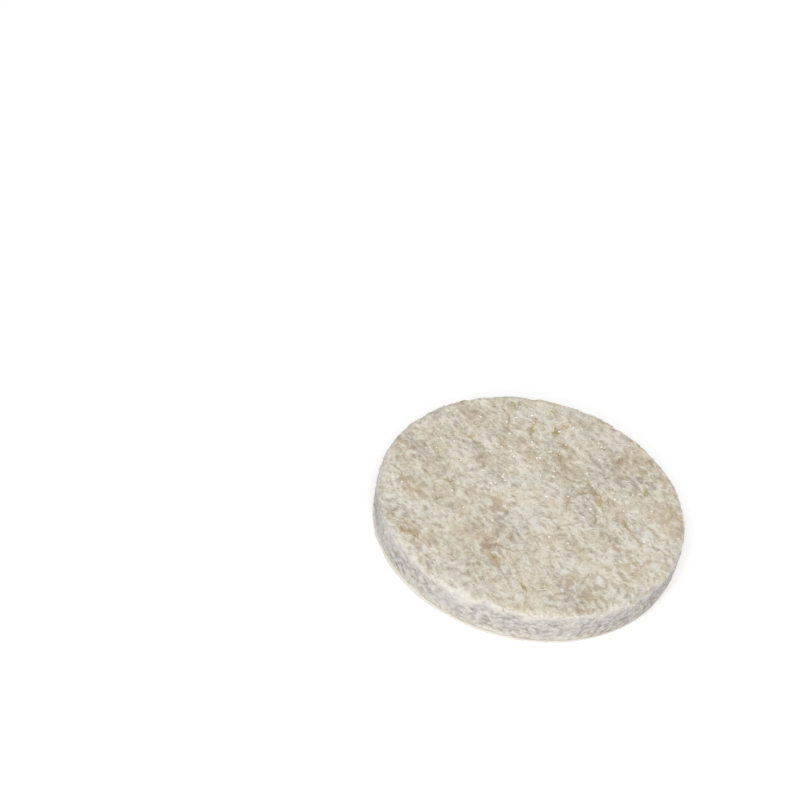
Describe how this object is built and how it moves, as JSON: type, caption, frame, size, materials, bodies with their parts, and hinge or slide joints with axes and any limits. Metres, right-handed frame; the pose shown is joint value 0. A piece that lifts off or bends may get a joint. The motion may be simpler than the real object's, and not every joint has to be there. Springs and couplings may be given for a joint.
{
  "type": "felt furniture pad",
  "caption": "Round stick-on felt glide: a thick needled felt disc on an adhesive film, with its paper release liner still in place.",
  "frame": {"origin": "centre of the release liner's underside, on which the pad lies", "axes": "+Z through the thickness, from the stick-on side to the felt's glide face; the pad is round about Z, so X and Y are free"},
  "size_m": [0.038, 0.0381, 0.005],
  "materials": {
    "felt": "needled felt of grey-beige blended fibres, mottled, with a short fuzz",
    "adhesive": "clear brownish pressure-sensitive film",
    "liner_paper": "thin cream paper with a smooth release face"
  },
  "bodies": {
    "root": {"felt_disc": "felt", "adhesive_film": "adhesive", "release_liner": "liner_paper"}
  },
  "joints": []
}
